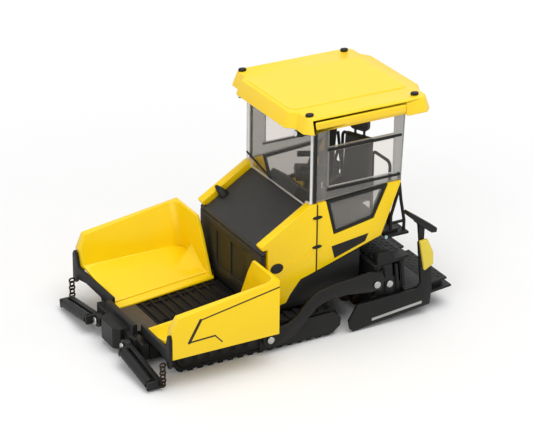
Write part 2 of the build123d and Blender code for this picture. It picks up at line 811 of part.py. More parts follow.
rear_wall_face_x = wing_rear_x + wing_wall
gusset_reach = 7.0
gusset_x = rear_wall_face_x - wing_wall / 2
with BuildPart() as wing:
    with BuildSketch(front_plane(wing_rear_x)):
        with BuildLine():
            Polyline(*wing_section(wing_rear_x), close=True)
        make_face()
    with BuildSketch(front_plane(wing_front_x + 1.0)):
        with BuildLine():
            Polyline(*wing_section(wing_front_x + 1.0), close=True)
        make_face()
    loft(ruled=True)
    with BuildSketch(front_plane(wing_rear_x)):
        with BuildLine():
            Polyline(*rear_wall_points, close=True)
        make_face()
    extrude(amount=wing_wall)
    hinge_start = (wing_rear_x, wing_hinge_y, lip_rear_z - wing_wall / 2)
    with BuildSketch(Plane(origin=hinge_start, z_dir=(wing_run, 0, -deck_rise))):
        Circle(wing_knuckle_radius)
    extrude(amount=hypot(wing_run, deck_rise))
    with BuildSketch(Plane.XY.offset(wing_crease_z)):
        with BuildLine():
            Polyline(*corner_fill(wing_crease_y, rear_wall_face_x), close=True)
        make_face()
    with BuildSketch(Plane.XY.offset(wing_top)):
        with BuildLine():
            Polyline(*corner_fill(wing_outer_y - wing_rim, rear_wall_face_x), close=True)
        make_face()
    loft(ruled=True)
    add(pointed_solid((gusset_x, 21.6, 17.4), (gusset_x + gusset_reach + 0.5, 17.8, 11.9),
                      (gusset_x, wing_hinge_y + 2.6, lip_rear_z), (gusset_x, 22.4, 12.4)))
    with BuildSketch(Plane.XY):
        with BuildLine():
            Polyline((front_line(0, apron_thickness + pin_gap), 0), (beyond, 0), (beyond, beyond),
                     (front_line(beyond, apron_thickness + pin_gap), beyond), close=True)
        make_face()
    extrude(amount=beyond, mode=Mode.SUBTRACT)
    add(side_prism(top_trim_points, 0, beyond), mode=Mode.SUBTRACT)
save_pair(wing.part, "wing")

# Aprons: the black front plates with their upright ears
apron_points = [
    (wing_hinge_y + 1.0, 8.6),
    (wing_hinge_y + 1.0, 11.0),
    (side_reach - 3.4, 13.0),
    (side_reach - 2.0, ear_top - 0.7),
    (side_reach - 1.4, ear_top),
    (side_reach - 0.7, ear_top - 0.1),
    (side_reach, ear_top - 1.4),
    (side_reach, 7.6),
    (side_reach - 1.6, 7.2),
    (side_reach - 3.0, 8.8),
    (side_reach - 8.0, 9.4),
    (wing_hinge_y + 2.4, 7.6),
]
with BuildPart() as apron:
    with BuildSketch(front_plane(0)):
        with BuildLine():
            Polyline(*apron_points, close=True)
        make_face()
    extrude(amount=beyond)
    with BuildSketch(Plane.XY):
        with BuildLine():
            Polyline((front_line(0, apron_thickness), 0), (front_line(0, 0), 0),
                     (front_line(beyond, 0), beyond), (front_line(beyond, apron_thickness), beyond),
                     close=True)
        make_face()
    extrude(amount=beyond, mode=Mode.INTERSECT)
save_pair(apron.part, "apron")

# Push rollers: a drooping arm on its pin, with the roller between two end plates
droop = radians(push_droop)


def push_plane(x):
    """Drawn along the left arm (outwards and down) and across it (up), facing +X."""
    return Plane(origin=(x, push_pin_y, push_pin_z), x_dir=(0, cos(droop), -sin(droop)), z_dir=(1, 0, 0))


def along_push(distance):
    """A plane square to the left arm, this far from its pin, facing outwards."""
    origin = (push_roller_x, push_pin_y + distance * cos(droop), push_pin_z - distance * sin(droop))
    return Plane(origin=origin, x_dir=(1, 0, 0), z_dir=(0, cos(droop), -sin(droop)))


push_roller_x = half_length - push_roller_radius
roller_start = push_roller_inner - push_pin_y
roller_end = push_roller_outer - push_pin_y
bar_front_x = push_roller_x - push_roller_radius - gap
plate_reach = push_roller_radius - 0.2
axle_radius = 0.55
axle_length = 1.2
with BuildPart() as push_arm:
    with BuildSketch(push_plane(push_ring_rear_x)):
        Circle(push_ring_radius)
        Circle(push_pin_radius + pin_gap, mode=Mode.SUBTRACT)
    extrude(amount=push_ring_length)
    with BuildSketch(push_plane(push_ring_rear_x)):
        with Locations(((push_ring_radius - 0.4 + roller_end + push_end_thickness) / 2, 0)):
            Rectangle(roller_end + push_end_thickness - push_ring_radius + 0.4, 2 * plate_reach)
    extrude(amount=bar_front_x - push_ring_rear_x)
    for start in (roller_start - slide_gap - push_end_thickness, roller_end + slide_gap):
        with BuildSketch(push_plane(push_ring_rear_x)):
            with Locations((start + push_end_thickness / 2, 0)):
                Rectangle(push_end_thickness, 2 * plate_reach)
        extrude(amount=push_roller_x + plate_reach - push_ring_rear_x)
    with BuildSketch(along_push(roller_start - slide_gap)):
        Circle(axle_radius)
    extrude(amount=axle_length)
    with BuildSketch(along_push(roller_end + slide_gap)):
        Circle(axle_radius)
    extrude(amount=-axle_length)
    with BuildSketch(along_push(roller_end + slide_gap + push_end_thickness)):
        with Locations((chain_x - push_roller_x, 0)):
            Circle(chain_pin_radius)
    extrude(amount=link_wire + 2 * slide_gap)
save_pair(push_arm.part, "push_arm")

with BuildPart() as push_roller:
    with BuildSketch(along_push(roller_start)):
        Circle(push_roller_radius)
    extrude(amount=roller_end - roller_start)
    with BuildSketch(along_push(roller_start)):
        Circle(axle_radius + pin_gap)
    extrude(amount=axle_length, mode=Mode.SUBTRACT)
    with BuildSketch(along_push(roller_end)):
        Circle(axle_radius + pin_gap)
    extrude(amount=-axle_length, mode=Mode.SUBTRACT)
save_pair(push_roller.part, "push_roller")

# Chains: flat links turned a quarter from each to the next, up from the arm's pin to the ear
chain_distance = roller_end + slide_gap + push_end_thickness + slide_gap + link_wire / 2
chain_y = push_pin_y + chain_distance * cos(droop)
chain_foot_z = push_pin_z - chain_distance * sin(droop) - chain_pin_radius - pin_gap / 2 - link_wire
link_pitch = link_length - 2 * link_wire - 0.05
with BuildPart() as chain:
    for n in range(chain_links):
        link_mid_z = chain_foot_z + link_length / 2 + n * link_pitch
        turn = 0 if n % 2 == 0 else 90
        with BuildSketch(Plane(Location((chain_x, chain_y, link_mid_z), (90, 0, 0))).rotated((0, turn, 0))):
            RectangleRounded(link_width, link_length, link_width / 2 - 0.05)
            RectangleRounded(link_width - 2 * link_wire, link_length - 2 * link_wire,
                             (link_width - 2 * link_wire) / 2 - 0.05, mode=Mode.SUBTRACT)
        extrude(amount=link_wire / 2, both=True)
save_pair(chain.part, "chain")

# Screed and tow arms, which swing together about the tow pins
tilt = radians(screed_tilt)


def screed_prism(points, inner_y, outer_y):
    """A plate drawn rearwards along the tilted screed and up from its sole, filling a width in y."""
    face = Plane(origin=(screed_nose_x, inner_y, screed_nose_z),
                 x_dir=(-cos(tilt), 0, sin(tilt)), z_dir=(0, 1, 0))
    with BuildPart() as prism:
        with BuildSketch(face):
            with BuildLine():
                Polyline(*points, close=True)
            make_face()
        extrude(amount=outer_y - inner_y)
    return prism.part


def screed_box(u0, u1, v0, v1, inner_y, outer_y):
    """A box on the tilted screed, from its nearest to its furthest corner."""
    return screed_prism([(u0, v0), (u1, v0), (u1, v1), (u0, v1)], inner_y, outer_y)


def screed_axle(u, v, radius, start_y, length):
    """A round bar across the screed."""
    face = Plane(origin=(screed_nose_x, start_y, screed_nose_z),
                 x_dir=(-cos(tilt), 0, sin(tilt)), z_dir=(0, 1, 0))
    with BuildPart() as axle:
        with BuildSketch(face):
            with Locations((u, v)):
                Circle(radius)
        extrude(amount=length)
    return axle.part


arm_outline = [
    (tow_pin_x, tow_pin_z + arm_eye_radius),
    (7.5, 8.0),
    (4.7, 8.4),
    (1.3, 10.6),
    (-2.1, 14.3),
    (-5.4, 16.8),
    (screed_nose_x + 5.6, 18.0),
    (screed_nose_x - 6.0, 18.8),
    (screed_nose_x - 9.9, 18.0),
    (screed_nose_x - 10.9, 15.4),
    (screed_nose_x - 9.7, 12.4),
    (screed_nose_x - 6.1, 12.2),
    (screed_nose_x + 2.6, 13.3),
    (screed_nose_x + 9.2, 13.0),
    (-5.0, 11.6),
    (-1.1, 7.8),
    (2.6, 4.0),
    (8.0, tow_pin_z - arm_eye_radius),
    (tow_pin_x, tow_pin_z - arm_eye_radius),
]
arm_outer_y = arm_inner_y + arm_thickness
with BuildPart() as tow_arms:
    with BuildSketch(side_plane(arm_outer_y)):
        with BuildLine():
            Polyline(*arm_outline, close=True)
        make_face()
        with Locations((tow_pin_x, tow_pin_z)):
            Circle(arm_eye_radius)
            Circle(tow_pin_radius + pin_gap, mode=Mode.SUBTRACT)
    extrude(amount=arm_thickness)
    mirror(about=Plane.XZ)
save(tow_arms.part, "tow_arms")

arm_pad_points = [
    (screed_nose_x - 6.7, 12.8),
    (screed_nose_x - 6.7, 17.6),
    (screed_nose_x - 9.7, 17.0),
    (screed_nose_x - 10.1, 15.4),
    (screed_nose_x - 9.3, 13.0),
]
side_relief_y = screed_half_width + 0.6
screed_rear_u = screed_front_u + screed_depth
box_rear_u = screed_rear_u + 1.6
deck_front_u = screed_front_u + 1.4
deck_rear_u = box_rear_u + 1.8
box_bottom_v = screed_height
extension_front_u = screed_rear_u + slide_gap
extension_rear_u = extension_front_u + extension_depth
rod_u = (extension_front_u + extension_rear_u) / 2
bracket_half_width = 0.5
rod_reach = 18.0
side_ribs = [
    (screed_rear_u - 5.9, screed_rear_u - 2.9, screed_sole_v + 1.0, box_top_v - 0.3),
    (screed_rear_u - 1.9, screed_rear_u - 0.9, screed_height, box_top_v - 0.8),
    (screed_rear_u + 0.2, screed_rear_u + 1.2, screed_height + 0.4, box_top_v - 0.8),
]
with BuildPart() as screed:
    add(screed_box(screed_front_u, screed_rear_u, screed_sole_v, screed_height,
                   -screed_half_width, screed_half_width))
    for inner_y in (box_inner_y, -screed_half_width):
        add(screed_box(deck_front_u, box_rear_u, box_bottom_v, box_top_v,
                       inner_y, inner_y + screed_half_width - box_inner_y))
    add(screed_box(screed_rear_u, rod_u + 2 * guide_rod_radius, rod_v - 2 * guide_rod_radius,
                   rod_v + 2 * guide_rod_radius, -bracket_half_width, bracket_half_width))
    add(screed_axle(rod_u, rod_v, guide_rod_radius, -rod_reach, 2 * rod_reach))
    add(side_prism(arm_pad_points, screed_half_width, arm_inner_y))
    add(side_prism(arm_pad_points, -arm_inner_y, -screed_half_width))
    for front_u, rear_u, bottom_v, top_v in side_ribs:
        add(both_sides(screed_box(front_u, rear_u, bottom_v, top_v, screed_half_width - 0.3, side_relief_y)))
save(screed.part, "screed")

# Screed deck: the tread plate over the boxes, with a rounded heater box at each end
heater_front_u = deck_front_u + 1.5
heater_rear_u = heater_front_u + 6.0
heater_top_v = box_top_v + 4.0
heater_round = 1.1
heater_inner_y = screed_half_width - 3.1
heater_outer_y = screed_half_width - 0.2
heater_points = [
    (heater_front_u, box_top_v + 0.5),
    (heater_front_u, heater_top_v - heater_round),
    (heater_front_u + 0.3 * heater_round, heater_top_v - 0.3 * heater_round),
    (heater_front_u + heater_round, heater_top_v),
    (heater_rear_u - heater_round, heater_top_v),
    (heater_rear_u - 0.3 * heater_round, heater_top_v - 0.3 * heater_round),
    (heater_rear_u, heater_top_v - heater_round),
    (heater_rear_u, box_top_v + 0.5),
]
with BuildPart() as screed_deck:
    add(screed_box(deck_front_u, deck_rear_u, box_top_v, box_top_v + 0.8,
                   -screed_half_width, screed_half_width))
    add(both_sides(screed_prism(heater_points, heater_inner_y, heater_outer_y)))
save(screed_deck.part, "screed_deck")

# Screed extensions: they slide out behind the screed, each with its end plate, controls and walkway
extension_inner_y = bracket_half_width + slide_gap
rod_bore = guide_rod_radius + pin_gap
with BuildPart() as extension:
    add(screed_box(extension_front_u, extension_rear_u, screed_sole_v, extension_height,
                   extension_inner_y, end_plate_inner_y))
    add(screed_axle(rod_u, rod_v, rod_bore, extension_inner_y, end_plate_inner_y - extension_inner_y - 1.0),
        mode=Mode.SUBTRACT)
save_pair(extension.part, "extension")

end_plate_points = [
    (0, 0),
    (-0.9, 0.9),
    (-1.2, 3.8),
    (2.2, 8.4),
    (tower_front_u - 1.6, 6.9),
    (tower_front_u, 8.4),
    (tower_front_u, tower_height),
    (tower_front_u + 2.4, tower_height),
    (tower_front_u + 4.2, 14.0),
    (tower_front_u + 3.8, 5.1),
    (tower_front_u + 2.8, 0.2),
]
panel_points = [
    (screed_nose_x - 18.1, 35.2),
    (screed_nose_x - 18.7, 36.2),
    (screed_nose_x - 22.7, 33.4),
    (screed_nose_x - 28.7, 29.0),
    (screed_nose_x - 28.5, 27.6),
    (screed_nose_x - 26.7, 27.8),
    (screed_nose_x - 22.3, 31.2),
    (screed_nose_x - 21.7, 32.0),
]
stem_points = [
    (screed_nose_x - 22.1, 31.8),
    (screed_nose_x - 24.7, 30.2),
    (screed_nose_x - 24.5, 21.4),
    (screed_nose_x - 23.3, 21.4),
]
with BuildPart() as end_plate:
    add(screed_prism(end_plate_points, end_plate_inner_y, end_plate_outer_y))
    add(side_prism(panel_points, end_plate_inner_y - 1.6, end_plate_outer_y + 0.6))
    add(side_prism(stem_points, end_plate_inner_y, end_plate_outer_y - 0.2))
save_pair(end_plate.part, "end_plate")

control_points = [(24.7, 23.4), (27.5, 23.4), (29.2, 18.4), (29.0, 14.4), (25.7, 13.0)]
save_pair(screed_prism(control_points, end_plate_outer_y, end_plate_outer_y + 1.2), "control_box")

walkway_front_u = extension_rear_u
lower_tread_v = 2.6
upper_tread_v = 5.2
tread_thickness = 0.7
lower_tread_end_u = (half_length + screed_nose_x + lower_tread_v * sin(tilt)) / cos(tilt)
walkway_inner_y = extension_inner_y + 0.6
walkway_outer_y = end_plate_inner_y - 0.6
with BuildPart() as walkway:
    add(screed_box(walkway_front_u, lower_tread_end_u, lower_tread_v, lower_tread_v + tread_thickness,
                   walkway_inner_y, walkway_outer_y))
    add(screed_box(walkway_front_u, lower_tread_end_u - 1.0, upper_tread_v, upper_tread_v + tread_thickness,
                   walkway_inner_y, walkway_outer_y - 0.8))
    for y in (walkway_inner_y + 1.0, walkway_outer_y - 3.0):
        add(screed_box(walkway_front_u, lower_tread_end_u - 2.0, lower_tread_v, upper_tread_v, y, y + 0.8))
save_pair(walkway.part, "walkway")

# Augers and the gearbox between them
gearbox_half_width = 2.6
stub_radius = 0.5
stub_length = 3.0
with BuildPart() as auger_gearbox:
    add(box_between(auger_x - 1.6, chassis_rear_x, -gearbox_half_width, gearbox_half_width,
                    auger_z - 3.0, deck_bottom - gap))
    for y in (gearbox_half_width, -gearbox_half_width - stub_length):
        with BuildSketch(Plane(origin=(auger_x, y, auger_z), x_dir=(1, 0, 0), z_dir=(0, 1, 0))):
            Circle(stub_radius)
        extrude(amount=stub_length)
save(auger_gearbox.part, "auger_gearbox")

auger_inner_y = gearbox_half_width + slide_gap
flight_count = int((auger_outer_y - auger_inner_y - 1.0) / flight_pitch)
flight_lean = degrees(atan2(flight_pitch / 2, 2 * auger_radius))
with BuildPart() as auger:
    with BuildSketch(Plane(origin=(auger_x, auger_inner_y, auger_z), x_dir=(1, 0, 0), z_dir=(0, 1, 0))):
        Circle(auger_shaft_radius)
    extrude(amount=auger_outer_y - auger_inner_y)
    with BuildSketch(Plane(origin=(auger_x, auger_outer_y, auger_z), x_dir=(1, 0, 0), z_dir=(0, 1, 0))):
        Circle(auger_hub_radius)
    extrude(amount=0.8)
    for n in range(flight_count):
        y = auger_inner_y + 1.4 + (n + 0.5) * flight_pitch
        with Locations(Location((auger_x, y, auger_z), (90 + flight_lean, 0, 0))):
            Cylinder(auger_radius, flight_thickness)
    with BuildSketch(Plane(origin=(auger_x, auger_inner_y, auger_z), x_dir=(1, 0, 0), z_dir=(0, 1, 0))):
        Circle(stub_radius + pin_gap)
    extrude(amount=stub_length, mode=Mode.SUBTRACT)
save_pair(auger.part, "auger")

# Rivets: the bright heads on the tow pins, the push roller pins and the arms' rear ends
with BuildPart() as rivets:
    with BuildSketch(side_plane(arm_outer_y + rivet_height + pin_gap)):
        with Locations((tow_pin_x, tow_pin_z)):
            Circle(rivet_radius)
    extrude(amount=rivet_height)
    with BuildSketch(side_plane(arm_outer_y + pin_gap)):
        with Locations((tow_pin_x, tow_pin_z)):
            Circle(tow_pin_radius)
    extrude(amount=arm_outer_y + pin_gap - track_outer_y - gap - side_plate_thickness)
    mirror(about=Plane.XZ)
    with BuildSketch(front_plane(push_ring_rear_x + push_ring_length + gap)):
        with Locations((push_pin_y, push_pin_z), (-push_pin_y, push_pin_z)):
            Circle(rivet_radius)
    extrude(amount=rivet_height)
save(rivets.part, "rivets")

arm_rivet_place = (screed_nose_x - 8.0, 14.4)
side_rivet_place = (screed_nose_x - 13.6, 12.6)
with BuildPart() as arm_rivets:
    with BuildSketch(side_plane(arm_outer_y + rivet_height)):
        with Locations(arm_rivet_place):
            Circle(rivet_radius)
    extrude(amount=rivet_height)
    with BuildSketch(side_plane(side_relief_y + rivet_height)):
        with Locations(side_rivet_place):
            Circle(rivet_radius)
    extrude(amount=rivet_height)
    mirror(about=Plane.XZ)
save(arm_rivets.part, "arm_rivets")
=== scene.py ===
# %% [markdown]
# This scene dresses a small scale model of a tracked asphalt paver. The real object is a
# collector's model: zinc castings under gloss enamel, black moulded plastic, clear and smoked
# panes, rubber tracks and bright rivets. The solids come in already placed and sized, so the
# work here is finish: softened edges, surface grain, light, and the thin trim that a caster adds.

import json

import bmesh
import bpy
import numpy as np
from mathutils import Matrix, Vector


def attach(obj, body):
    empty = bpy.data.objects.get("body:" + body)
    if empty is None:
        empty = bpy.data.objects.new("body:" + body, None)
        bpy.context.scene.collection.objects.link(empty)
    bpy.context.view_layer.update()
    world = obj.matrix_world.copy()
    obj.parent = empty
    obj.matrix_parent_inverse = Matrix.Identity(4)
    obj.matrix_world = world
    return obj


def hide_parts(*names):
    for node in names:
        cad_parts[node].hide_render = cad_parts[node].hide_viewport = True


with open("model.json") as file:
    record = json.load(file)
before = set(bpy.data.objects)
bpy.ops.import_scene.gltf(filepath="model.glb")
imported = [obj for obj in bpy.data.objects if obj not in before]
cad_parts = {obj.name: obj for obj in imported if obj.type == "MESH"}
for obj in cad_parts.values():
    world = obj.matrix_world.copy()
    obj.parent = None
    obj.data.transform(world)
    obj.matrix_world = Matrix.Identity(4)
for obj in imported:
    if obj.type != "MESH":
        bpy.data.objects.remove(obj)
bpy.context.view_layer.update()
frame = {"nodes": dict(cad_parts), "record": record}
MM = 0.001

# %% [markdown]
# A photograph of a small thing is taken from far away with a long lens, so its lines hardly
# converge. The camera stands where the photograph's perspective puts it. Its heading, tilt and
# roll are angles, and the lens is worked out from the focal length in pixels of the frame.

# %% The camera
FRAME_WIDTH = 533
FOCAL_PIXELS = 2331
CAMERA_PLACE = Vector((0.3128, 0.5596, 0.3311))
CAMERA_HEADING = 240.767
CAMERA_TILT = 25.683
CAMERA_ROLL = 0.524
CENTRE_SHIFT = (4.59, 25.17)

heading, tilt, roll = np.radians([CAMERA_HEADING, CAMERA_TILT, CAMERA_ROLL])
forward = Vector((np.cos(heading) * np.cos(tilt), np.sin(heading) * np.cos(tilt), -np.sin(tilt)))
level = forward.cross(Vector((0, 0, 1))).normalized()
upright = level.cross(forward)
right = np.cos(roll) * level + np.sin(roll) * upright
up = np.cos(roll) * upright - np.sin(roll) * level

lens = bpy.data.cameras.new("studio_camera")
lens.sensor_width = 36
lens.lens = FOCAL_PIXELS / FRAME_WIDTH * lens.sensor_width
lens.shift_x = CENTRE_SHIFT[0] / FRAME_WIDTH
lens.shift_y = CENTRE_SHIFT[1] / FRAME_WIDTH
lens.clip_start = 0.01
camera = bpy.data.objects.new("studio_camera", lens)
bpy.context.scene.collection.objects.link(camera)
turn = Matrix((right, up, -forward)).transposed().to_4x4()
camera.matrix_world = Matrix.Translation(CAMERA_PLACE) @ turn
bpy.context.scene.camera = camera
print("lens in mm:", round(lens.lens, 1))

# %% [markdown]
# Every finish below is a small tree of nodes. One function adds a node, sets its sockets and
# makes its links, and another turns the hex colours that a designer writes into linear light.

# %% Colour and node helpers


def linear(hex_colour):
    """An sRGB hex colour as linear red, green, blue and alpha: each part to the power 2.4 above 0.04."""
    parts = np.array([int(hex_colour[i:i + 2], 16) for i in (1, 3, 5)]) / 255
    light = np.where(parts > 0.04045, ((parts + 0.055) / 1.055) ** 2.4, parts / 12.92)
    return (*light, 1.0)


def per_metre(millimetres):
    """How many repeats of a pattern fit in a metre, for a repeat of this many millimetres."""
    return 1000 / millimetres


def add(tree, kind, values=(), links=(), **settings):
    """One node with its settings, its sockets' values, and the links into it. A socket's key is its name or
    its number."""
    node = tree.nodes.new(kind)
    for name, value in settings.items():
        setattr(node, name, value)
    for socket, value in dict(values).items():
        node.inputs[socket].default_value = value
    for socket, source in dict(links).items():
        tree.links.new(source, node.inputs[socket])
    return node


def new_finish(name):
    """A bare material with its tree and its output node."""
    material = bpy.data.materials.new(name)
    material.use_nodes = True
    tree = material.node_tree
    tree.nodes.clear()
    return material, tree, tree.nodes.new("ShaderNodeOutputMaterial")


# %% [markdown]
# Most of this model is either painted metal or moulded plastic. Both are an even colour that
# drifts a little, a roughness that varies in soft patches, and a skin with fine bumps: orange
# peel in enamel, spark grain in a plastic mould. One function makes them all, and each call
# says what the real finish is and how coarse its grain is.

# %% Painted and moulded finishes
DRIFT_MM = 9
COAT_ROUGHNESS = 0.08
PRINT_INK = "#20160C"


def coated(name, deep, pale, rough, grain_mm, grain_depth, metallic=0.0, coat=0.0, specular=0.5, ink=None):
    """Colour drifts between deep and pale, roughness between the two of rough, and noise lifts the skin by
    up to grain_depth millimetres. ink is a function that says where dark print covers the paint."""
    material, tree, output = new_finish(name)
    place = add(tree, "ShaderNodeTexCoord").outputs["Object"]
    drift = add(tree, "ShaderNodeTexNoise", {"Scale": per_metre(DRIFT_MM), "Detail": 3.0}, {"Vector": place})
    colour = add(tree, "ShaderNodeMix", {"A": linear(deep), "B": linear(pale)},
                 {"Factor": drift.outputs["Fac"]}, data_type="RGBA")
    if ink:
        colour = add(tree, "ShaderNodeMix", {"B": linear(PRINT_INK)},
                     {"Factor": ink(tree, place), "A": colour.outputs["Result"]}, data_type="RGBA")
    patches = add(tree, "ShaderNodeTexNoise", {"Scale": per_metre(DRIFT_MM / 3), "Detail": 4.0},
                  {"Vector": place})
    roughness = add(tree, "ShaderNodeMapRange", {"To Min": rough[0], "To Max": rough[1]},
                    {"Value": patches.outputs["Fac"]})
    grain = add(tree, "ShaderNodeTexNoise", {"Scale": per_metre(grain_mm), "Detail": 2.0}, {"Vector": place})
    bump = add(tree, "ShaderNodeBump", {"Strength": 1.0, "Distance": grain_depth * MM},
               {"Height": grain.outputs["Fac"]})
    shader = add(tree, "ShaderNodeBsdfPrincipled",
                 {"Metallic": metallic, "Coat Weight": coat, "Coat Roughness": COAT_ROUGHNESS,
                  "Specular IOR Level": specular},
                 {"Base Color": colour.outputs["Result"], "Roughness": roughness.outputs["Result"],
                  "Normal": bump.outputs["Normal"]})
    tree.links.new(shader.outputs["BSDF"], output.inputs["Surface"])
    return material


# %% [markdown]
# Each wing carries one dark stripe of four straight runs. On the real model it is printed, so
# it has no thickness. It could be a thin raised piece, but the wings are already the widest
# part of the machine, and a mask in the paint adds nothing to the width. Each run is a segment
# in the X and Z of the wing, and the ink lies where the distance to it is small.

# %% The printed stripe
STRIPE_TURNS = np.array([(11.9, 0, 25.7), (38.0, 0, 21.1), (41.7, 0, 14.7), (33.3, 0, 15.0), (31.0, 0, 12.5)])
STRIPE_HALF_WIDTHS = (0.24, 0.5, 0.28, 0.2)
STRIPE_BLUR = 0.04
WING_PRINT_FACE = 32.6


def wing_stripe(tree, place):
    """1 within half a width of one of the stripe's straight runs, seen along Y, on the wings' outer faces.
    A run's nearest point is its start plus the run times the clamped share (offset . run) / (run . run)."""
    flat = add(tree, "ShaderNodeVectorMath", {1: (1 / MM, 0, 1 / MM)}, {0: place},
               operation="MULTIPLY").outputs[0]
    side = add(tree, "ShaderNodeSeparateXYZ", links={"Vector": place}).outputs[1]
    outward = add(tree, "ShaderNodeMath", links={0: side}, operation="ABSOLUTE").outputs[0]
    on_face = add(tree, "ShaderNodeMath", {1: WING_PRINT_FACE * MM}, {0: outward},
                  operation="GREATER_THAN").outputs[0]
    ink = None
    for start, end, half in zip(STRIPE_TURNS[:-1], STRIPE_TURNS[1:], STRIPE_HALF_WIDTHS):
        run = end - start
        offset = add(tree, "ShaderNodeVectorMath", {1: start}, {0: flat}, operation="SUBTRACT").outputs[0]
        along = add(tree, "ShaderNodeVectorMath", {1: run / (run @ run)}, {0: offset},
                    operation="DOT_PRODUCT").outputs["Value"]
        share = add(tree, "ShaderNodeClamp", links={"Value": along}).outputs[0]
        nearest = add(tree, "ShaderNodeVectorMath", {0: run}, {"Scale": share}, operation="SCALE").outputs[0]
        away = add(tree, "ShaderNodeVectorMath", links={0: offset, 1: nearest},
                   operation="DISTANCE").outputs["Value"]
        fall = {"From Min": half - STRIPE_BLUR, "From Max": half + STRIPE_BLUR, "To Min": 1.0, "To Max": 0.0}
        run_ink = add(tree, "ShaderNodeMapRange", fall, {"Value": away}).outputs[0]
        ink = run_ink if ink is None else add(tree, "ShaderNodeMath", links={0: ink, 1: run_ink},
                                              operation="MAXIMUM").outputs[0]
    return add(tree, "ShaderNodeMath", links={0: ink, 1: on_face}, operation="MULTIPLY").outputs[0]


print("stripe runs:", len(STRIPE_HALF_WIDTHS))

# %% [markdown]
# Now the finishes themselves, one line for each paint, plastic or metal of the model. Roughness
# decides how broad a highlight is, and the specular level how much of the white surroundings a
# black part mirrors: too much of it turns black moulding grey.

# %% Each paint, plastic and metal
# Gloss enamel on zinc: bright, thick, with a faint orange peel that breaks up its reflections
GLOSS_ENAMEL = dict(deep="#F0C800", pale="#F5CF08", rough=(0.26, 0.36), grain_mm=0.9, grain_depth=0.008,
                    coat=0.15, specular=0.28)
yellow_enamel = coated("yellow_enamel_on_zinc", **GLOSS_ENAMEL)
# The wings carry the dark stripe over the same enamel
striped_enamel = coated("yellow_enamel_with_stripe", ink=wing_stripe, **GLOSS_ENAMEL)
# The roof and its awnings are moulded plastic in the same yellow, a little paler and softer
yellow_plastic = coated("yellow_moulded_roof", "#F3CA14", "#F7D12A", (0.32, 0.42), 0.8, 0.008, coat=0.1,
                        specular=0.35)
# The covers on the screed's ends are moulded in a duller yellow, with no coat over it
cover_plastic = coated("dull_yellow_cover", "#DAC342", "#DEC74A", (0.4, 0.52), 0.7, 0.01, specular=0.3)
# Black satin enamel: casting grain shows through, so highlights are broad
black_enamel = coated("black_satin_enamel", "#11100F", "#191817", (0.38, 0.52), 0.7, 0.02, specular=0.25)
# Black polystyrene straight from a spark-eroded mould: matt, with a fine even grain
black_plastic = coated("black_moulded_plastic", "#111111", "#1A1A19", (0.42, 0.58), 0.6, 0.02, specular=0.25)
# The hood's cover is charcoal plastic, lighter than the rest and dead matt
charcoal_plastic = coated("charcoal_hood_plastic", "#2C2B2A", "#343332", (0.55, 0.7), 0.6, 0.02, specular=0.3)
# Seats are soft dark plastic with a leather-like grain
seat_plastic = coated("seat_leather_grain", "#1B1B1C", "#272728", (0.45, 0.6), 0.9, 0.04, specular=0.35)
# Rubber tracks: moulded, dull, and a little dusty where fingers have not wiped them
track_rubber = coated("track_rubber", "#111111", "#1B1A19", (0.6, 0.8), 0.7, 0.03, specular=0.2)
# The plate before the conveyor is brownish grey enamel over cast grain
floor_enamel = coated("hopper_floor_enamel", "#39322C", "#463E37", (0.4, 0.6), 0.8, 0.03, specular=0.3)
# The conveyor's slats and chains are black plastic, given a deeper black than the other plastic as painted
# shade for the hopper, out of which hardly any light comes back
conveyor_black_with_painted_shade = coated("conveyor_black_painted_shade", "#090807", "#100E0C", (0.5, 0.65), 0.7, 0.02,
                          specular=0.15)
# Chains and augers are blackened steel wire: metal, brown in its highlights
blackened_steel = coated("blackened_steel", "#221C18", "#443830", (0.3, 0.5), 0.5, 0.02, metallic=1.0)
# Rivets are bright turned aluminium
bright_aluminium = coated("bright_aluminium", "#A2A29F", "#C4C4C0", (0.3, 0.42), 0.4, 0.02, metallic=1.0)
# The small ring bolts are zinc plated, which leaves a blue cast
blue_zinc = coated("blue_zinc_plate", "#8FB0B8", "#B4CED4", (0.25, 0.4), 0.5, 0.01, metallic=1.0)
# Lamp lenses are clear plastic over a bright reflector, so they read as pale and glossy
lamp_lens = coated("lamp_lens_plastic", "#B9BDC0", "#D5D8DA", (0.08, 0.14), 0.6, 0.005, coat=0.8)
# The engine block is closed in on every side, so a plain grey enamel does for it
engine_enamel = coated("engine_grey_enamel", "#5E5E5C", "#6E6E6B", (0.4, 0.55), 0.8, 0.02)
print("materials so far:", len(bpy.data.materials))

# %% [markdown]
# Panes in such a model are moulded acrylic, about a millimetre thick. Light goes straight
# through and only a few percent is mirrored, and the cut edges catch light and look white. A mix
# of a Transparent and a glossy shader shows the faces, lets the lamps reach the seats inside, and
# costs far less than tracing bent rays through a thin sheet. The white of the edges is a painted
# highlight: they get a pale colour and are made nearly solid.

# %% Panes
ACRYLIC_IOR = 1.49
POLISHED = (0.02, 0.1)
SMEAR_MM = 6
EDGE_SOLID = 0.7
# Near-white colour for the panes' cut edges: a painted highlight for the light they catch
PAINTED_EDGE_HIGHLIGHT = "#F4F6F6"


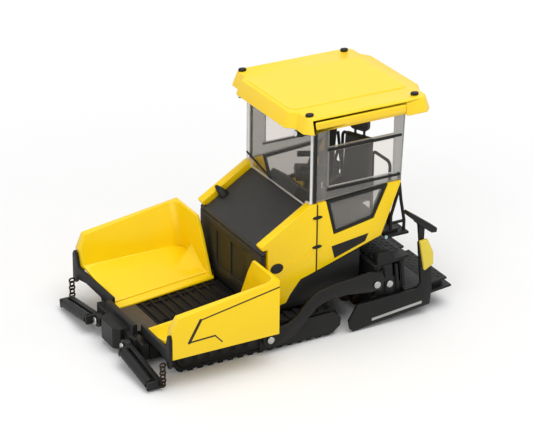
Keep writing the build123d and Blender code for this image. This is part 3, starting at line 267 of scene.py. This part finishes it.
def acrylic(name, tint, body_hex, see_through, face_axis, edge_hex, pattern=None):
    """Mixes a Transparent shader in tint with gloss over body_hex: faces by see_through, edges nearly solid.
    face_axis is 0 for a pane that faces along X and 1 for one that faces along Y. edge_hex colours the
    edges: a painted highlight on the clear and smoked panes, dark paint on the mesh pane."""
    material, tree, output = new_finish(name)
    place = add(tree, "ShaderNodeTexCoord")
    split = add(tree, "ShaderNodeSeparateXYZ", links={"Vector": place.outputs["Normal"]})
    facing = add(tree, "ShaderNodeMath", links={0: split.outputs[face_axis]}, operation="ABSOLUTE")
    flat_face = add(tree, "ShaderNodeMath", {1: 0.5}, {0: facing.outputs[0]}, operation="GREATER_THAN")
    smear = add(tree, "ShaderNodeTexNoise", {"Scale": per_metre(SMEAR_MM), "Detail": 3.0},
                {"Vector": place.outputs["Object"]})
    roughness = add(tree, "ShaderNodeMapRange", {"To Min": POLISHED[0], "To Max": POLISHED[1]},
                    {"Value": smear.outputs["Fac"]})
    body_colour = add(tree, "ShaderNodeMix", {"A": linear(edge_hex), "B": linear(body_hex)},
                      {"Factor": flat_face.outputs[0]}, data_type="RGBA")
    gloss = add(tree, "ShaderNodeBsdfPrincipled", {"IOR": ACRYLIC_IOR},
                {"Base Color": body_colour.outputs["Result"], "Roughness": roughness.outputs["Result"]})
    pane_tint = add(tree, "ShaderNodeMix", {"A": linear(edge_hex), "B": linear(tint)},
                    {"Factor": flat_face.outputs[0]}, data_type="RGBA")
    clear = add(tree, "ShaderNodeBsdfTransparent", links={"Color": pane_tint.outputs["Result"]})
    solid_share = add(tree, "ShaderNodeMapRange", {"To Min": EDGE_SOLID, "To Max": 1 - see_through},
                      {"Value": flat_face.outputs[0]})
    share = solid_share.outputs["Result"]
    if pattern:
        share = pattern(tree, place.outputs["Object"], share)
    mixed = add(tree, "ShaderNodeMixShader", links={"Fac": share, 1: clear.outputs[0], 2: gloss.outputs[0]})
    tree.links.new(mixed.outputs[0], output.inputs["Surface"])
    return material


# The real print is too fine to show at this size, so its holes are drawn as coarse as 0.9 mm apart
HOLE_PITCH_MM = 0.9
HOLE_BLUR = 0.4
PRINT_COVER = 0.38


def printed_mesh(tree, place, share):
    """A thin print with rows of clear holes: cos(x) cos(z) from 0 up to HOLE_BLUR takes the print away."""
    wave = add(tree, "ShaderNodeVectorMath", {1: [2 * np.pi * per_metre(HOLE_PITCH_MM)] * 3}, {0: place},
               operation="MULTIPLY")
    split = add(tree, "ShaderNodeSeparateXYZ", links={"Vector": wave.outputs[0]})
    along = add(tree, "ShaderNodeMath", links={0: split.outputs[0]}, operation="COSINE")
    upward = add(tree, "ShaderNodeMath", links={0: split.outputs[2]}, operation="COSINE")
    product = add(tree, "ShaderNodeMath", links={0: along.outputs[0], 1: upward.outputs[0]},
                  operation="MULTIPLY")
    cover = add(tree, "ShaderNodeMapRange",
                {"From Min": 0.0, "From Max": HOLE_BLUR, "To Min": PRINT_COVER, "To Max": 0.0},
                {"Value": product.outputs[0]})
    return add(tree, "ShaderNodeMath", links={0: cover.outputs["Result"], 1: share},
               operation="MAXIMUM").outputs[0]


# The windscreen faces along X and is the clearest, and the side panes face along Y
# Their edges take the near-white painted highlight
clear_screen = acrylic("clear_acrylic_screen", "#FCFBFA", "#CBCAC8", 0.96, 0, PAINTED_EDGE_HIGHLIGHT)
clear_side = acrylic("clear_acrylic_side", "#FBF9F7", "#B8B6B3", 0.92, 1, PAINTED_EDGE_HIGHLIGHT)
# The frame of the upper side window is the same acrylic with a smoky tint, and its edges get a greyer painted
# highlight
smoked_side = acrylic("smoked_acrylic_frame", "#D6D5D3", "#B7B4B0", 0.74, 1, "#CFCFCE")
# The lower side window is clear acrylic behind a printed mesh, with dark painted edges
mesh_side = acrylic("printed_mesh_pane", "#F0EEEB", "#A3A09C", 0.8, 1, "#2A2A2A", printed_mesh)
print("materials with the panes:", len(bpy.data.materials))

# %% [markdown]
# Each solid now gets its finish. A part of the frame keeps its own mesh and only changes its
# material, so it stays exactly where the construction put it.

# %% Finishes for the solids
FINISHES = {
    "yellow_paint": yellow_enamel,
    "canopy_yellow": yellow_plastic,
    "black_paint": black_enamel,
    "hopper_plate": floor_enamel,
    "black_plastic": black_plastic,
    "hood_charcoal": charcoal_plastic,
    "track_rubber": track_rubber,
    "rivet_silver": bright_aluminium,
    "chain_steel": blackened_steel,
    "engine_grey": engine_enamel,
    "seat_plastic": seat_plastic,
    "clear_pane": clear_side,
    "smoked_pane": smoked_side,
    "mesh_pane": mesh_side,
}
slot_of = {row["node"]: row["material_slot"] for row in frame["record"]["subparts"]}
finish_of = {node: FINISHES[slot] for node, slot in slot_of.items()}
finish_of["windscreen"] = clear_screen
finish_of["conveyor"] = conveyor_black_with_painted_shade
finish_of["wing_left"] = finish_of["wing_right"] = striped_enamel
finish_of["control_box_left"] = finish_of["control_box_right"] = cover_plastic
body_of = {node: body for body, nodes in frame["record"]["behaviour"]["bodies"].items() for node in nodes}

for node, solid in frame["nodes"].items():
    solid.data.materials.clear()
    solid.data.materials.append(finish_of[node])
print("finishes given:", len(finish_of))

# %% [markdown]
# No casting has a knife edge: paint and the mould round every corner by a tenth or two of a
# millimetre, and that thin round is what catches the light. A solid's mesh is loose triangles,
# so a copy is merged first, then the flat faces are made whole again, and a Bevel modifier
# rounds what is left sharp. The copy stands for the solid and rides its body.

# %% Softened castings
MERGE_MM = 0.0005
SAME_PLANE_DEGREES = 0.6
SHARP_DEGREES = 35


def soften(node, edge_mm):
    """A merged copy of a solid, with every edge that turns by more than SHARP_DEGREES rounded by edge_mm."""
    mesh = frame["nodes"][node].data.copy()
    mesh.name = node + "_cast"
    shape = bmesh.new()
    shape.from_mesh(mesh)
    bmesh.ops.remove_doubles(shape, verts=shape.verts, dist=MERGE_MM * MM)
    bmesh.ops.dissolve_limit(shape, angle_limit=np.radians(SAME_PLANE_DEGREES), verts=shape.verts,
                             edges=shape.edges)
    shape.to_mesh(mesh)
    shape.free()
    mesh.shade_smooth()
    casting = bpy.data.objects.new(node + "_cast", mesh)
    bpy.context.scene.collection.objects.link(casting)
    bevel = casting.modifiers.new("soft edges", "BEVEL")
    bevel.width = edge_mm * MM
    bevel.segments = 2
    bevel.limit_method = "ANGLE"
    bevel.angle_limit = np.radians(SHARP_DEGREES)
    bevel.use_clamp_overlap = False
    bevel.harden_normals = True
    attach(casting, body_of[node])
    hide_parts(node)


EDGES_MM = {
    "canopy": 0.45,
    "awnings": 0.3,
    "hood": 0.3,
    "hood_front": 0.15,
    "side_panel_left": 0.3,
    "side_panel_right": 0.3,
    "cab_side_left": 0.25,
    "cab_side_right": 0.25,
    "wing_left": 0.14,
    "wing_right": 0.14,
    "apron_left": 0.2,
    "apron_right": 0.2,
    "front_beam": 0.25,
    "front_plate": 0.1,
    "conveyor": 0.12,
    "tow_arms": 0.2,
    "track_frame_left": 0.15,
    "track_frame_right": 0.15,
    "track_left": 0.1,
    "track_right": 0.1,
    "skirts": 0.2,
    "platform": 0.15,
    "rear_steps": 0.15,
    "instrument_desk": 0.3,
    "lower_window_frames": 0.15,
    "push_arm_left": 0.15,
    "push_arm_right": 0.15,
    "screed": 0.25,
    "screed_deck": 0.15,
    "extension_left": 0.2,
    "extension_right": 0.2,
    "end_plate_left": 0.2,
    "end_plate_right": 0.2,
    "control_box_left": 0.3,
    "control_box_right": 0.3,
    "walkway_left": 0.12,
    "walkway_right": 0.12,
    "rivets": 0.2,
    "arm_rivets": 0.2,
    "roof_lamps": 0.25,
    "seats": 0.2,
}
for node, edge_mm in EDGES_MM.items():
    soften(node, edge_mm)
print("softened castings:", len(EDGES_MM))

# %% [markdown]
# A caster adds the last trim as shallow relief or as small moulded parts pushed into holes: a
# badge cap, hinge covers, hub caps, tread on the steps. Each is the same idea, an outline that
# rises from a face and draws in at its shoulder, so one function makes them all from arrays of
# outlines. Badge and plate are left bare.

# %% Raised trim
SIDE_FACE = 20.2
OUT = np.array([0.0, 1.0, 0.0])
UP = np.array([0.0, 0.0, 1.0])
ALONG = np.array([1.0, 0.0, 0.0])
SHOULDER = 0.6
SUNK_MM = 0.06
ROUND_DEGREES = 40


def oval(middle, across, upward, radius_across, radius_up, points=20):
    """middle + radius_across cos(t) across + radius_up sin(t) upward, for each middle: (count, points, 3)."""
    angle = np.linspace(0, 2 * np.pi, points, endpoint=False)[:, None]
    ring = radius_across * np.cos(angle) * across + radius_up * np.sin(angle) * upward
    return np.atleast_2d(middle)[:, None, :] + ring


def strip(starts, ends, normal, width):
    """The four corners of a straight strip from each start to each end: (count, 4, 3)."""
    starts, ends = np.atleast_2d(starts), np.atleast_2d(ends)
    run = ends - starts
    aside = np.cross(normal, run / np.linalg.norm(run, axis=1, keepdims=True)) * width / 2
    return np.stack([starts - aside, ends - aside, ends + aside, starts + aside], axis=1)


def raised(outlines, normal, height, draw_in=0.12):
    """Each outline at three levels: sunk into the face, at SHOULDER times the height, and at full height
    with the share draw_in of its size taken off towards its middle."""
    middle = outlines.mean(axis=1, keepdims=True)
    levels = [(1.0, -SUNK_MM), (1.0, SHOULDER * height), (1.0 - draw_in, height)]
    return np.stack([middle + (outlines - middle) * size + normal * rise for size, rise in levels], axis=1)


def both_sides(rings):
    """The rings and their mirror image across the middle plane."""
    return np.concatenate([rings, rings * (1, -1, 1)])


def trim(name, rings, body, finish, smooth=False):
    """Closed pieces from rings (count, levels, around, 3) in mm: quads between levels, a fan at each end."""
    count, levels, around, _ = rings.shape
    tips = np.stack([rings[:, 0].mean(axis=1), rings[:, -1].mean(axis=1)], axis=1)
    points = np.concatenate([rings.reshape(count, -1, 3), tips], axis=1)
    here = np.arange(around)
    after = (here + 1) % around
    low_ring = np.arange(levels - 1)[:, None] * around
    quads = np.stack([low_ring + here, low_ring + after, low_ring + around + after, low_ring + around + here],
                     axis=-1).reshape(-1, 4)
    top = (levels - 1) * around
    bottom_fan = np.stack([after, here, np.full(around, levels * around)], axis=-1)
    top_fan = np.stack([top + here, top + after, np.full(around, levels * around + 1)], axis=-1)
    first = np.arange(count)[:, None, None] * points.shape[1]
    faces = (quads + first).reshape(-1, 4).tolist()
    faces += (np.concatenate([bottom_fan, top_fan]) + first).reshape(-1, 3).tolist()
    mesh = bpy.data.meshes.new(name)
    mesh.from_pydata((points.reshape(-1, 3) * MM).tolist(), [], faces)
    shape = bmesh.new()
    shape.from_mesh(mesh)
    bmesh.ops.recalc_face_normals(shape, faces=shape.faces)
    shape.to_mesh(mesh)
    shape.free()
    if smooth:
        mesh.shade_smooth()
        mesh.set_sharp_from_angle(angle=np.radians(ROUND_DEGREES))
    mesh.materials.append(finish)
    piece = bpy.data.objects.new(name, mesh)
    bpy.context.scene.collection.objects.link(piece)
    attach(piece, body)
    print(name, "pieces:", count, "faces:", len(mesh.polygons))


# %% [markdown]
# The sides carry what a reader of the real machine looks for first: the bare badge, the door's
# seam with its two hinge covers, a bare name plate, slanted cooling ribs, and the caps of the
# road rollers. They could be carved into the panels, but a shallow piece laid on the flat side
# leaves the casting's edges alone, and each one is mirrored to the other side.

# %% Trim on the machine's sides
BADGE_MIDDLE = (5.8, SIDE_FACE, 24.6)
# The badge's rim and its cap: radius along, radius upward, and rise
BADGE_LEVELS = [(2.15, 1.6, 0.3), (1.5, 1.05, 0.42)]
badge = [raised(oval(BADGE_MIDDLE, ALONG, UP, radius_along, radius_up), OUT, rise)
         for radius_along, radius_up, rise in BADGE_LEVELS]
trim("badge_caps", both_sides(np.concatenate(badge)), "machine", black_plastic, smooth=True)
SEAM_X, SEAM_BOTTOM, SEAM_TOP, SEAM_WIDTH = -7.9, 20.7, 42.4, 0.34
HINGE_HEIGHTS = (38.3, 28.7)
hinge_middles = [(SEAM_X, SIDE_FACE, height) for height in HINGE_HEIGHTS]
hinges = raised(oval(hinge_middles, ALONG, UP, 1.65, 0.55), OUT, 0.3, draw_in=0.3)
trim("hinge_covers", both_sides(hinges), "machine", black_plastic, smooth=True)
bare_plate = np.array([[(-13.0, SIDE_FACE, 27.7), (-25.9, SIDE_FACE, 29.3), (-24.8, SIDE_FACE, 26.9),
                        (-14.1, SIDE_FACE, 23.6)]])
plates = raised(bare_plate, OUT, 0.12, draw_in=0.02)
trim("bare_plates", both_sides(plates), "machine", black_plastic)
seam_line = strip((SEAM_X, SIDE_FACE, SEAM_BOTTOM), (SEAM_X, SIDE_FACE, SEAM_TOP), OUT, SEAM_WIDTH)
seams = raised(seam_line, OUT, 0.04, draw_in=0.0)
trim("door_seams", both_sides(seams), "machine", black_plastic)

# %% Ribs, bolts and hub caps
RIB_COUNT, RIB_STEP, RIB_WIDTH = 5, np.array([-1.9, 0, 0.3]), 0.4
FIRST_RIB_FOOT, FIRST_RIB_HEAD = (2.4, SIDE_FACE, 24.3), (0.2, SIDE_FACE, 27.2)
RING_BOLT, BOLT_RADIUS = (-32.3, 20.0, 26.4), 0.6
HUB_COUNT, HUB_STEP, HUB_RADIUS = 6, np.array([4.2, 0, 0]), 1.1
REAR_HUB = (17.4, 24.7, 4.7)
rib_shifts = np.arange(RIB_COUNT)[:, None] * RIB_STEP
rib_lines = strip(FIRST_RIB_FOOT + rib_shifts, FIRST_RIB_HEAD + rib_shifts, OUT, RIB_WIDTH)
ribs = raised(rib_lines, OUT, 0.12, draw_in=0.08)
trim("louvre_ribs", both_sides(ribs), "machine", yellow_enamel)
ring_bolts = raised(oval(RING_BOLT, ALONG, UP, BOLT_RADIUS, BOLT_RADIUS), OUT, 0.3)
trim("ring_bolts", both_sides(ring_bolts), "machine", blue_zinc, smooth=True)
hub_middles = REAR_HUB + np.arange(HUB_COUNT)[:, None] * HUB_STEP
hubs = raised(oval(hub_middles, ALONG, UP, HUB_RADIUS, HUB_RADIUS), OUT, 0.4)
trim("hub_caps", both_sides(hubs), "machine", black_plastic, smooth=True)

# %% [markdown]
# On top sit the outlet, a soft black spout that leans outward as it rises, the roof's shallow
# raised field, the lenses of the work lamps, and the chain studs on the conveyor. The spout is a
# stack of circles that shrink and lean, which gives its horn shape without any carving.

# %% Trim on the hood, the roof and the lamps
HOOD_NORMAL = np.array([0.556, 0.0, 0.831])
OUTLET_FOOT = np.array([4.8, -15.0, 34.4])
# Radius, rise along the hood's normal, and lean to the side
OUTLET_STEPS = [(1.7, -0.1, 0.0), (1.6, 0.5, 0.0), (1.2, 1.3, -0.3), (0.95, 2.2, -1.0), (0.5, 3.0, -1.9)]
outlet = [oval(OUTLET_FOOT + HOOD_NORMAL * rise + OUT * lean, np.cross(OUT, HOOD_NORMAL), OUT, radius, radius)
          for radius, rise, lean in OUTLET_STEPS]
trim("hood_outlet", np.stack(outlet, axis=1), "machine", black_plastic, smooth=True)
ROOF_TOP = 71.6
roof_outline = np.array([(-1.8, -12.6), (-1.8, 12.6), (-3.4, 14.2), (-40.4, 14.2),
                         (-42.0, 12.6), (-42.0, -12.6), (-40.4, -14.2), (-3.4, -14.2)])
roof_corners = np.column_stack([roof_outline, np.full(len(roof_outline), ROOF_TOP)])
roof_field = raised(roof_corners[None], UP, 0.2, draw_in=0.02)
trim("roof_field", roof_field, "machine", yellow_plastic)
LAMP_NORMAL = np.array([0.985, 0.0, 0.174])
LAMP_FACE, LENS_RADIUS = (-1.7, 17.2, 65.5), 0.85
lens_outline = oval(LAMP_FACE, OUT, np.cross(LAMP_NORMAL, OUT), LENS_RADIUS, LENS_RADIUS)
lenses = raised(lens_outline, LAMP_NORMAL, 0.18)
trim("lamp_lenses", both_sides(lenses), "machine", lamp_lens, smooth=True)

# %% Studs of the conveyor's chains
CONVEYOR_FRONT, CONVEYOR_HEIGHT, CONVEYOR_FALL = 16.2, 9.85, 0.0857
CHAIN_LINE, CHAIN_REAR, CHAIN_FRONT, STUD_STEP = 5.5, 12.5, 37.5, 1.15
stud_x = np.arange(CHAIN_REAR, CHAIN_FRONT, STUD_STEP)
stud_z = CONVEYOR_HEIGHT - CONVEYOR_FALL * (stud_x - CONVEYOR_FRONT)
stud_middles = np.stack([stud_x, np.full_like(stud_x, CHAIN_LINE), stud_z], axis=1)
studs = raised(oval(stud_middles, ALONG, OUT, 0.42, 0.55, points=8), UP, 0.35)
# The studs take the conveyor's deeper black, the same painted shade
trim("conveyor_chain_studs", both_sides(studs), "machine", conveyor_black_with_painted_shade)

# %% [markdown]
# Steps and walkways are cut from chequer plate, so that boots grip: small lozenges turned left
# and right in turn. The screed leans back a few degrees, and its tread and the bright wear
# strips are laid out in its own slope.

# %% Tread and the screed's trim
SCREED_SLOPE = np.radians(5.6)
back = np.array([-np.cos(SCREED_SLOPE), 0, np.sin(SCREED_SLOPE)])
lift = np.array([np.sin(SCREED_SLOPE), 0, np.cos(SCREED_SLOPE)])
SCREED_START = np.array([-17.9, 0, 0.3])
DECK_RISE, STEP_RISE, WALKWAY_RISE, WEAR_RISE = 18.2, 26.6, 5.9, 1.95
END_FACE, WEAR_FROM, WEAR_TO, WEAR_WIDTH = 26.0, 6.7, 24.7, 0.9
TREAD_PITCH = 1.3
LOZENGE_HALVES = (0.55, 0.18)


def tread(origin, back_way, normal, back_range, side_range):
    """Lozenges on a square grid, turned 45 degrees left and right in turn: each corner lies at middle +
    half cos(t) back_way + half sin(t) OUT, for the long half and the short half in turn. The two ranges are
    where the grid starts and ends along back_way and along OUT."""
    rows = np.arange(*back_range, TREAD_PITCH)
    columns = np.arange(*side_range, TREAD_PITCH)
    row, column = np.meshgrid(rows, columns, indexing="ij")
    turned = (np.indices(row.shape).sum(axis=0) % 2 * 2 - 1).ravel()[:, None, None] * np.pi / 4
    middle = origin + row.ravel()[:, None] * back_way + column.ravel()[:, None] * OUT
    angle = np.array([0, 1, 2, 3])[None, :, None] * np.pi / 2
    reach = np.array(LOZENGE_HALVES * 2)[None, :, None]
    outlines = middle[:, None, :] + reach * (np.cos(angle + turned) * back_way + np.sin(angle + turned) * OUT)
    return raised(outlines, normal, 0.1, draw_in=0.3)


deck_tread = tread(SCREED_START + DECK_RISE * lift, back, lift, (10.9, 22.0), (-19.5, 19.8))
trim("screed_tread", deck_tread, "screed", black_plastic)
step_tread = tread(STEP_RISE * UP, -ALONG, UP, (33.5, 40.2), (12.9, 19.6))
trim("step_tread", both_sides(step_tread), "machine", black_plastic)
walk_tread = tread(SCREED_START + WALKWAY_RISE * lift, back, lift, (28.4, 35.4), (2.2, 23.0))
trim("walkway_tread_left", walk_tread, "extension_left", black_plastic)
trim("walkway_tread_right", walk_tread * (1, -1, 1), "extension_right", black_plastic)
wear_origin = SCREED_START + lift * WEAR_RISE + OUT * END_FACE
wear_line = strip(wear_origin + back * WEAR_FROM, wear_origin + back * WEAR_TO, OUT, WEAR_WIDTH)
wear_strip = raised(wear_line, OUT, 0.12, draw_in=0.02)
trim("wear_strip_left", wear_strip, "extension_left", bright_aluminium)
trim("wear_strip_right", wear_strip * (1, -1, 1), "extension_right", bright_aluminium)

# %% [markdown]
# The photograph is a plain product shot: white ground, white surroundings, light from all
# round with a little more from above. A pale floor takes the object's soft shadow, and further
# out it fades into plain white, as a sheet of card does under studio lamps. A plain white floor
# would lose the shadow, and a plain grey one would show its far edge. The world lights evenly,
# and two large soft lamps give the enamel its long highlights.

# %% World and floor card


def white_behind(tree):
    """1 for rays that should meet a white background: from the camera, a mirror or through a pane."""
    path = add(tree, "ShaderNodeLightPath")
    seen = add(tree, "ShaderNodeMath", operation="MAXIMUM",
               links={0: path.outputs["Is Camera Ray"], 1: path.outputs["Is Glossy Ray"]})
    through = add(tree, "ShaderNodeMath", operation="MAXIMUM",
                  links={0: seen.outputs[0], 1: path.outputs["Is Transmission Ray"]})
    return through.outputs[0]


# The world's strength as a light, and the distances in metres between which the floor fades to white
WORLD_LIGHT = 0.62
FADE_FROM, FADE_TO = 0.085, 0.19
CARD_GRAIN_MM = 40
CARD_DEEP, CARD_PALE = "#E9E9E9", "#ECECEC"
world = bpy.data.worlds.new("studio")
bpy.context.scene.world = world
world.use_nodes = True
sky = world.node_tree
sky.nodes.clear()
strength = add(sky, "ShaderNodeMapRange", {"To Min": WORLD_LIGHT, "To Max": 1.0},
               {"Value": white_behind(sky)})
background = add(sky, "ShaderNodeBackground", {"Color": (1, 1, 1, 1)},
                 {"Strength": strength.outputs["Result"]})
add(sky, "ShaderNodeOutputWorld", links={"Surface": background.outputs[0]})

floor_white, tree, output = new_finish("white_floor_card")
place = add(tree, "ShaderNodeTexCoord").outputs["Object"]
speckle = add(tree, "ShaderNodeTexNoise", {"Scale": per_metre(CARD_GRAIN_MM)}, {"Vector": place})
card = add(tree, "ShaderNodeMix", {"A": linear(CARD_DEEP), "B": linear(CARD_PALE)},
           {"Factor": speckle.outputs["Fac"]}, data_type="RGBA")
shade = add(tree, "ShaderNodeBsdfDiffuse", links={"Color": card.outputs["Result"]})
glow = add(tree, "ShaderNodeEmission", {"Color": (1, 1, 1, 1), "Strength": 1.0})
away = add(tree, "ShaderNodeVectorMath", links={0: place}, operation="LENGTH")
fade = add(tree, "ShaderNodeMapRange",
           {"From Min": FADE_FROM, "From Max": FADE_TO, "To Min": 0.0, "To Max": 1.0},
           {"Value": away.outputs["Value"]}, interpolation_type="SMOOTHSTEP")
share = add(tree, "ShaderNodeMath", links={0: white_behind(tree), 1: fade.outputs["Result"]},
            operation="MULTIPLY")
floor_mix = add(tree, "ShaderNodeMixShader", links={"Fac": share.outputs[0], 1: shade.outputs[0],
                                                    2: glow.outputs[0]})
tree.links.new(floor_mix.outputs[0], output.inputs["Surface"])

# %% The floor's mesh and the lamps
FLOOR_REACH = 6.0
floor_mesh = bpy.data.meshes.new("floor")
corners = np.array([(-1, -1), (1, -1), (1, 1), (-1, 1)]) * FLOOR_REACH
floor_mesh.from_pydata([(x, y, 0) for x, y in corners], [], [(0, 1, 2, 3)])
floor_mesh.materials.append(floor_white)
floor = bpy.data.objects.new("floor", floor_mesh)
bpy.context.scene.collection.objects.link(floor)


def soft_lamp(name, place, aim, size, power):
    """A square area lamp that looks from its place to its aim, in metres, with its power in watts."""
    light = bpy.data.lights.new(name, "AREA")
    light.size = size
    light.energy = power
    lamp = bpy.data.objects.new(name, light)
    lamp.location = place
    lamp.rotation_mode = "QUATERNION"
    lamp.rotation_quaternion = (Vector(aim) - Vector(place)).to_track_quat("-Z", "Y")
    bpy.context.scene.collection.objects.link(lamp)


MODEL_MIDDLE = (0, 0, 0.03)
soft_lamp("overhead", (-0.1, 0.15, 0.8), MODEL_MIDDLE, size=0.7, power=4.3)
soft_lamp("front_left", (0.6, 0.5, 0.45), MODEL_MIDDLE, size=0.5, power=2.0)
bpy.context.scene.view_settings.view_transform = "Standard"
print("lamps:", len(bpy.data.lights))
